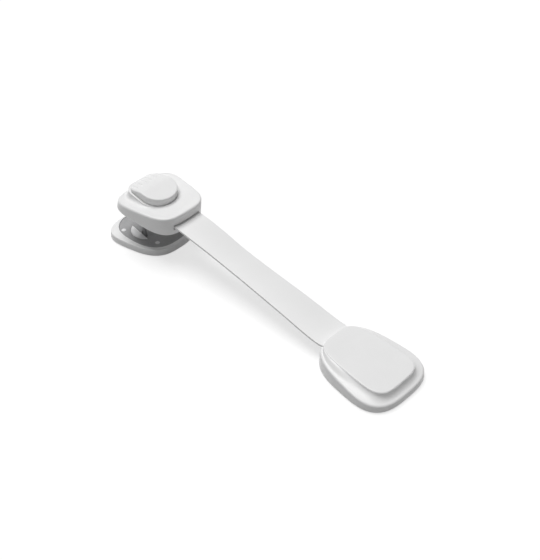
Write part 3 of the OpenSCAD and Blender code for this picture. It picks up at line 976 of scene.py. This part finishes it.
@dataclass
class LatchHead:
    """The head's shell round the dial, drawn about the dial's axis."""

    length: float = 40.7
    width: float = 38.2
    flare: float = 0.16
    power: float = 3.7
    dial_shift: float = 3.75
    edge_near: float = 12.2
    edge_far: float = 4.2
    foot: float = 0.4
    draft: float = 0.3
    edge_inset: float = 1.5
    edge_drop: float = 1.4
    dish: float = 0.6
    dish_inset: float = 5.4
    wall: float = 2.2
    plate_top: float = 3.5
    ceiling: float = 6.2
    well: float = 8.1
    pedestal_rise: float = 0.5
    pedestal_margin: float = 1.3
    pedestal_edge: float = 1.0
    pedestal_fillet: float = 2.4
    fillet_power: float = 2.2
    room_gap: float = 0.18
    hair: float = 0.02
    ridge_edge: float = 0.1
    ridge_round: float = 0.15
    rim_edge: float = 0.25
    turn: float = 28.0
    cavity: float = 9.7
    bore: float = 3.65
    washer: float = 6.3
    washer_sink: float = 0.3
    slot_low: float = 3.2
    slot_high: float = 6.5
    slot_width: float = 18.55
    slot_depth: float = 12.5
    points: int = 400

    def __post_init__(self) -> None:
        """Works out the outline round the dial's axis and its directions."""
        self.outline = Shield(self.length, self.width, self.flare, self.power, -self.dial_shift)
        line = self.outline.at(self.outline.even_turns(self.points))
        self.angles = np.arctan2(line[:, 1], line[:, 0])

    def out(self, inset: float) -> np.ndarray:
        """Reach of the outline drawn in by an inset."""
        return reach(self.outline.dense(inset), self.angles)

    def edge_plane(self, radius: np.ndarray) -> np.ndarray:
        """Height of the sloping edge plane at a radius in each direction."""
        slope = (self.edge_far - self.edge_near) / self.length
        along = radius * np.cos(self.angles) + self.dial_shift
        return (self.edge_near + self.edge_far) / 2 + slope * along

    def roof(self, radius: np.ndarray) -> np.ndarray:
        """Height of the rounded edge and the dished top at a radius in each direction."""
        inset = self.out(0.0) - radius
        share = np.clip((inset - self.draft) / (self.edge_inset - self.draft), 0.0, 1.0)
        rounded = self.edge_drop * (1 - np.sqrt(1 - (1 - share) ** 2))
        sunk = self.dish * ease((inset - self.edge_inset) / (self.dish_inset - self.edge_inset))
        return self.edge_plane(radius) - rounded - sunk

    def room(self, dial: TurnDial) -> np.ndarray:
        """Reach of the room that the dial sweeps, open to the free end."""
        radius = dial.radius + self.room_gap
        far = 3 * self.length
        first = math.pi / 2
        last = 3 * math.pi / 2 - math.radians(self.turn)
        lean = math.radians(self.turn)
        fine = np.linspace(0.0, 1.0, 4000)
        start = np.array([radius * math.cos(last), radius * math.sin(last)])
        end = start + far * np.array([math.cos(lean), -math.sin(lean)])
        top = np.array([[0.0, radius], [far, radius]])
        parts = [
            polar(first + (last - first) * fine, radius),
            start + (end - start) * fine[:, None],
            end + (top[1] - end) * fine[:, None],
            top[1] + (top[0] - top[1]) * fine[:, None]]
        return reach(np.vstack(parts), self.angles)

    def ring(self, radius: np.ndarray | float, height: np.ndarray | float) -> np.ndarray:
        """One ring round the dial's axis."""
        return with_height(polar(self.angles, radius), height)

    def build_cover(self, place: HeadFrame, dial: TurnDial) -> bpy.types.Object:
        """The shell: wall, rounded edge, dished top, pedestal, well and plate recess.

        Args:
            place: the head's frame.
            dial: the dial that the well and pedestal follow.

        Returns:
            The mesh object.
        """
        seat = np.minimum(reach(dial.line(self.pedestal_margin), self.angles),
                          self.out(self.pedestal_edge))
        swept = self.room(dial)
        room = np.minimum(swept, seat - self.ridge_edge - 2 * self.hair)
        ridge = np.where(swept > seat - self.ridge_edge, self.well,
                         np.maximum(self.well + self.pedestal_rise, self.roof(seat)))
        rings = [self.ring(self.out(self.foot * inward), self.foot * up)
                 for up, inward in rounding(3)]
        foot_line = seat + self.hair
        for inward, _ in rounding(8):
            inset = self.draft + (self.edge_inset - self.draft) * inward
            radius = np.maximum(self.out(inset), foot_line)
            rings.append(self.ring(radius, self.roof(radius)))
        crest = np.maximum(self.out(self.edge_inset), foot_line)
        fillet = np.minimum(self.pedestal_fillet, 0.8 * (crest - seat))
        for share in np.linspace(0.0, 1.0, 16)[1:]:
            radius = crest + (seat + fillet - crest) * share
            rings.append(self.ring(radius, self.roof(radius)))
        for angle in quarter(12)[1:]:
            share = math.sin(angle)
            radius = seat + fillet * (1 - share)
            base = self.roof(radius)
            steep = 1 - (1 - share ** self.fillet_power) ** (1 / self.fillet_power)
            climb = np.maximum(ridge - self.ridge_edge - base, 0.0) * steep
            rings.append(self.ring(radius, base + climb))
        lip = np.minimum(swept + 2 * self.ridge_edge, seat - self.ridge_edge - self.hair)
        rings.append(self.ring(seat - self.ridge_edge, ridge))
        rings.append(self.ring(lip, ridge))
        rings.append(self.ring(room, np.maximum(ridge - self.ridge_round, self.well)))
        rings.append(self.ring(room, self.well))
        sunk = self.well - self.washer_sink
        inner = (
            (self.washer, self.well), (self.washer, sunk), (self.bore, sunk),
            (self.bore, self.ceiling), (self.cavity, self.ceiling), (self.cavity, self.plate_top))
        rings.extend(self.ring(radius, height) for radius, height in inner)
        rings.append(self.ring(self.out(self.wall), self.plate_top))
        rings.append(self.ring(self.out(self.wall), self.rim_edge))
        rings.append(self.ring(self.out(self.wall - self.rim_edge), 0.0))
        cover = loft("head_shell", [place.to_row(ring) for ring in rings], Ends.LOOPED)
        carve(cover, self.slot(place))
        shade(cover, Crease.CRISP)
        return cover

    def slot(self, place: HeadFrame) -> bpy.types.Object:
        """The strap's slot through the head's strap end, as a cutter."""
        end = -self.length / 2 - self.dial_shift
        half = self.slot_width / 2
        rings = [
            np.array([[x, -half, self.slot_low], [x, half, self.slot_low],
                      [x, half, self.slot_high], [x, -half, self.slot_high]])
            for x in (end - 1.0, end + self.slot_depth)]
        return loft("strap_slot", [place.to_row(ring) for ring in rings])

    def make(self, place: HeadFrame, dial: TurnDial) -> None:
        """Builds and dresses the head's pieces."""
        settle(self.build_cover(place, dial), "head", WHITE, "head_cover")
        dress_node("head_plate", WHITE)
        dress_node("head_screws", STEEL)
        dress_node("dial_washer", WASHER)
        dress_node("detent_spring", STEEL)


@dataclass
class Dock:
    """The separate dock: base, dark cushion, light landings and studs, and its tape."""

    length: float = 41.0
    width: float = 41.0
    flare: float = 0.21
    power: float = 3.1
    height: float = 4.4
    skirt: float = 0.3
    foot: float = 0.4
    draft: float = 0.15
    edge_inset: float = 0.75
    edge_drop: float = 0.7
    pocket_edge: float = 0.2
    dial_shift: float = -3.4
    border_side: float = 3.5
    border_nose: float = 1.0
    border_strap: float = 2.4
    pocket_flare: float = 0.08
    pocket_power: float = 2.65
    pocket_floor: float = 3.0
    keeper_radius: float = 10.55
    keeper_depth: float = 0.8
    tape_room: float = 2.2
    tape_inset: float = 3.0
    liner: float = 0.15
    tape: float = 1.0
    cushion_gap: float = 0.15
    cushion_top: float = 4.3
    cushion_edge: float = 0.45
    cushion_foot: tuple[float, float] = (0.1, 0.15)
    cushion_face: float = 1.6
    hook_in: float = 8.1
    hook_out: float = 9.8
    hook_start: float = 52.5
    hook_span: float = 37.0
    landing_at: tuple[float, float] = (5.1, 4.8)
    landing_radius: float = 8.9
    landing_in: float = 9.7
    landing_turn: float = -7.5
    landing_top: float = 4.45
    landing_edge: float = 0.2
    landing_round: float = 0.06
    room_gap: float = 0.15
    studs: tuple[tuple[float, float], ...] = (
        (13.7, 14.4), (13.7, -14.4), (-8.4, 8.6), (8.4, -8.6))
    stud_radius: float = 0.8
    stud_head: float = 1.3
    stud_top: float = 4.55
    stud_gap: float = 0.05
    stud_edge: float = 0.04
    stud_foot: float = 0.8
    stud_tip: float = 0.02
    points: int = 288

    def __post_init__(self) -> None:
        """Works out the outlines and the dock's place from the frame."""
        low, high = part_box("dock_base")
        self.middle = (low.x + high.x) / 2 / MM
        self.outline = Shield(self.length, self.width, self.flare, self.power)
        self.pocket = Shield(
            self.length - self.border_nose - self.border_strap, self.width - 2 * self.border_side,
            self.pocket_flare, self.pocket_power, (self.border_strap - self.border_nose) / 2)
        self.turns = self.outline.even_turns(self.points)

    def at_dock(self, points: np.ndarray) -> np.ndarray:
        """Points about the dock's middle, in the whole lock's frame."""
        return points + np.array([self.middle, 0.0, 0.0])

    def at_dial(self, points: np.ndarray) -> np.ndarray:
        """Points about the shut dial's axis, in the whole lock's frame."""
        return self.at_dock(points + np.array([self.dial_shift, 0.0, 0.0]))

    def build_base(self) -> bpy.types.Object:
        """The base: wall, rounded border, pocket, and the tape's room below."""
        room = self.outline.at(self.turns, self.tape_room)
        rings = [with_height(room, self.liner + self.tape), with_height(room, self.skirt)]
        for up, inward in rounding(3):
            level = self.skirt + self.foot * up
            rings.append(self.outline.ring(self.turns, self.foot * inward, level))
        for inward, down in rounding(7):
            inset = self.draft + self.edge_inset * inward
            rings.append(self.outline.ring(self.turns, inset, self.height - self.edge_drop * down))
        for down, outward in rounding(3):
            level = self.height - self.pocket_edge * down
            rings.append(self.pocket.ring(self.turns, -self.pocket_edge * outward, level))
        floor = self.pocket.at(self.turns)
        rings.append(with_height(floor, self.pocket_floor))
        seat = np.array([self.dial_shift, 0.0])
        bearing = np.arctan2(floor[:, 1], floor[:, 0] - self.dial_shift)
        for level in (self.pocket_floor, self.pocket_floor - self.keeper_depth):
            rings.append(with_height(seat + polar(bearing, self.keeper_radius), level))
        base = loft("dock_shell", [self.at_dock(ring) for ring in rings])
        shade(base, Crease.CRISP)
        return base

    def landing_line(self, grow: float) -> np.ndarray:
        """Outline of one landing: the part of a circle that lies past a straight line."""
        turn = math.radians(self.landing_turn)
        centre = np.array(self.landing_at)
        normal = np.array([-math.sin(turn), math.cos(turn)])
        radius = self.landing_radius + grow
        depth = self.landing_in - grow - float(centre @ normal)
        half = math.acos(depth / radius)
        bearing = turn + math.pi / 2
        arc = centre + polar(bearing + np.linspace(-half, half, 61), radius)
        chord = arc[-1] + (arc[0] - arc[-1]) * np.linspace(0.0, 1.0, 41)[1:-1, None]
        return np.vstack([arc, chord])

    def prism(self, name: str, line: np.ndarray, turned: bool) -> bpy.types.Object:
        """A tall cutter through the cushion from an outline about the dial's axis."""
        line = -line if turned else line
        levels = (self.pocket_floor - 1.0, self.height + 2.0)
        return loft(name, [self.at_dial(with_height(line, level)) for level in levels])

    def hook_line(self) -> np.ndarray:
        """Outline of the room round one hook's wall."""
        angles = np.radians(self.hook_start + np.linspace(0.0, self.hook_span, 25))
        return np.vstack([polar(angles, self.hook_out), polar(angles[::-1], self.hook_in)])

    def build_cushion(self) -> bpy.types.Object:
        """The dark foam field with rounded edges and rooms for what stands through it."""
        turns = self.pocket.even_turns(self.points)
        edge = self.cushion_edge
        draw, rise = self.cushion_foot
        rings = [
            self.pocket.ring(turns, self.cushion_gap + draw, self.pocket_floor),
            self.pocket.ring(turns, self.cushion_gap, self.pocket_floor + rise)]
        for inward, down in rounding(5):
            inset = self.cushion_gap + edge * inward
            rings.append(self.pocket.ring(turns, inset, self.cushion_top - edge * down))
        rings.append(self.pocket.ring(turns, self.cushion_face, self.cushion_top))
        cushion = loft("dock_foam", [self.at_dock(ring) for ring in rings])
        cutters = []
        for turned in (False, True):
            cutters.append(self.prism("hook_room", self.hook_line(), turned))
            cutters.append(self.prism("landing_room", self.landing_line(self.room_gap), turned))
        around = np.linspace(0, FULL_TURN, 32, endpoint=False)
        for place in self.studs:
            hole = np.array(place) + polar(around, self.stud_radius + self.room_gap)
            cutters.append(self.prism("stud_room", hole, False))
        carve(cushion, *cutters)
        shade(cushion, Crease.MOULDED)
        return cushion

    def build_landings(self) -> bpy.types.Object:
        """The two light leaves beside the hooks, with rounded upper edges."""
        leaves = []
        for side in (1, -1):
            rings = []
            top = self.landing_top
            levels = (
                (0.0, self.pocket_floor), (0.0, top - self.landing_edge),
                (self.landing_round, top - self.landing_round), (self.landing_edge, top))
            for inset, level in levels:
                line = side * self.landing_line(-inset)
                rings.append(self.at_dial(with_height(line, level)))
            leaves.append(loft("leaf", rings))
        landings = merge("dock_leaves", leaves)
        shade(landings, Crease.MOULDED)
        return landings

    def build_studs(self) -> bpy.types.Object:
        """The four studs with low domed heads that pin the cushion."""
        around = np.linspace(0.0, FULL_TURN, 40, endpoint=False)
        shoulder = self.cushion_top + self.stud_gap
        profile = [(self.stud_radius, self.pocket_floor - self.stud_foot),
                   (self.stud_radius, shoulder), (self.stud_head, shoulder)]
        brim = shoulder + self.stud_edge
        for angle in quarter(6):
            profile.append((self.stud_head * math.cos(angle) + self.stud_tip,
                            brim + (self.stud_top - brim) * math.sin(angle)))
        studs = []
        for place in self.studs:
            rings = [self.at_dial(with_height(np.array(place) + polar(around, radius), level))
                     for radius, level in profile]
            studs.append(loft("stud", rings))
        joined = merge("cushion_studs", studs)
        shade(joined, Crease.MOULDED)
        return joined

    def make(self) -> None:
        """Builds and dresses the dock's pieces."""
        settle(self.build_base(), "dock", WHITE, "dock_base")
        cushion = self.build_cushion()
        settle(cushion, "dock", DARK_FOAM, "dock_cushion")
        settle(self.build_landings(), "dock", GREY, "dock_landings")
        settle(self.build_studs(), "dock", GREY, "dock_studs")
        at_dock = Shield(self.length, self.width, self.flare, self.power, self.middle)
        tape = foam_sheet("dock_foam_tape", at_dock, self.tape_inset, self.liner, self.tape)
        settle(tape, "dock", TAPE_FOAM, "dock_tape")
        dress_node("dock_keeper", DARK)
        dress_node("dock_liner", FILM)


@dataclass
class Studio:
    """Pale floor, soft light from above and the photograph's camera. Metres."""

    camera_at: tuple[float, float, float] = (-0.222504, 0.301419, 0.389356)
    looks_along: tuple[float, float, float] = (0.51955, -0.53975, -0.66238)
    focal_pixels: float = 1082.69
    image_height: float = 560.0
    sensor: float = 24.0
    clip: tuple[float, float] = (0.01, 50.0)
    floor_size: float = 2.2
    box_target: tuple[float, float, float] = (0.08, 0.0, 0.0)
    box_at: tuple[float, float, float] = (1.45, -0.1, 4.3)
    box_size: float = 3.0
    box_power: float = 186.0
    sky: float = 0.17
    floor_bounce: float = 0.6
    floor_shown: float = 0.4
    floor_glow: float = 0.66

    def add_floor(self) -> None:
        """White floor that keeps the lock's shadow and shows pale to the camera."""
        half = self.floor_size / 2
        corners = np.array([[-half, -half, 0], [half, -half, 0], [half, half, 0], [-half, half, 0]])
        floor = make_mesh("floor", corners / MM, [[0, 1, 2, 3]])
        recipe = Recipe("floor_paper")
        tree = recipe.tree
        grey = recipe.add("ShaderNodeBsdfDiffuse", Color=(*[self.floor_bounce] * 3, 1.0))
        pale = recipe.add("ShaderNodeBsdfDiffuse", Color=(*[self.floor_shown] * 3, 1.0))
        glow = recipe.add("ShaderNodeEmission", Strength=self.floor_glow)
        shown = recipe.add("ShaderNodeAddShader")
        mix = recipe.add("ShaderNodeMixShader")
        recipe.join(pale.outputs["BSDF"], shown.inputs[0])
        recipe.join(glow.outputs["Emission"], shown.inputs[1])
        recipe.join(recipe.seen(), mix.inputs["Fac"])
        recipe.join(grey.outputs["BSDF"], mix.inputs[1])
        recipe.join(shown.outputs["Shader"], mix.inputs[2])
        recipe.join(mix.outputs["Shader"], tree.nodes["Material Output"].inputs["Surface"])
        tree.nodes.remove(recipe.shader)
        floor.data.materials.append(recipe.material)

    def add_sky(self) -> None:
        """White backdrop for what is seen, and a dim even light for the rest."""
        world = bpy.data.worlds.new("studio")
        bpy.context.scene.world = world
        world.use_nodes = True
        nodes = Nodes(world.node_tree)
        back = nodes.tree.nodes["Background"]
        back.inputs["Color"].default_value = (1.0, 1.0, 1.0, 1.0)
        level = nodes.add("ShaderNodeMapRange", To_Min=self.sky, To_Max=1.0)
        nodes.join(nodes.seen(), level.inputs["Value"])
        nodes.join(level.outputs["Result"], back.inputs["Strength"])

    def add_light(self) -> None:
        """One large soft box above the lock, over to the head's side."""
        data = bpy.data.lights.new("soft_box", "AREA")
        data.shape = "SQUARE"
        data.size = self.box_size
        data.energy = self.box_power
        light = bpy.data.objects.new("soft_box", data)
        light.location = self.box_at
        aim = Vector(self.box_target) - light.location
        light.rotation_euler = aim.to_track_quat("-Z", "Y").to_euler()
        bpy.context.scene.collection.objects.link(light)

    def add_camera(self) -> None:
        """The photograph's camera."""
        data = bpy.data.cameras.new("camera")
        data.sensor_fit = "VERTICAL"
        data.sensor_height = self.sensor
        data.lens = self.focal_pixels * self.sensor / self.image_height
        data.clip_start, data.clip_end = self.clip
        camera = bpy.data.objects.new("camera", data)
        camera.location = self.camera_at
        camera.rotation_euler = Vector(self.looks_along).to_track_quat("-Z", "Y").to_euler()
        bpy.context.scene.collection.objects.link(camera)
        bpy.context.scene.camera = camera

    def make(self) -> None:
        """Builds the whole studio."""
        self.add_camera()
        self.add_floor()
        self.add_sky()
        self.add_light()
        bpy.context.scene.view_settings.view_transform = "Standard"
        LOG.info("studio: camera, floor and soft box")


def main() -> None:
    """Builds the studio and every piece of the lock."""
    logging.basicConfig(level=logging.INFO, format="%(message)s")
    Studio().make()
    place = HeadFrame.from_joints()
    strap = Strap()
    AnchorPad().make(strap)
    strap.make()
    dial = TurnDial()
    LatchHead().make(place, dial)
    dial.make(place)
    Dock().make()


if __name__ == "__main__":
    main()
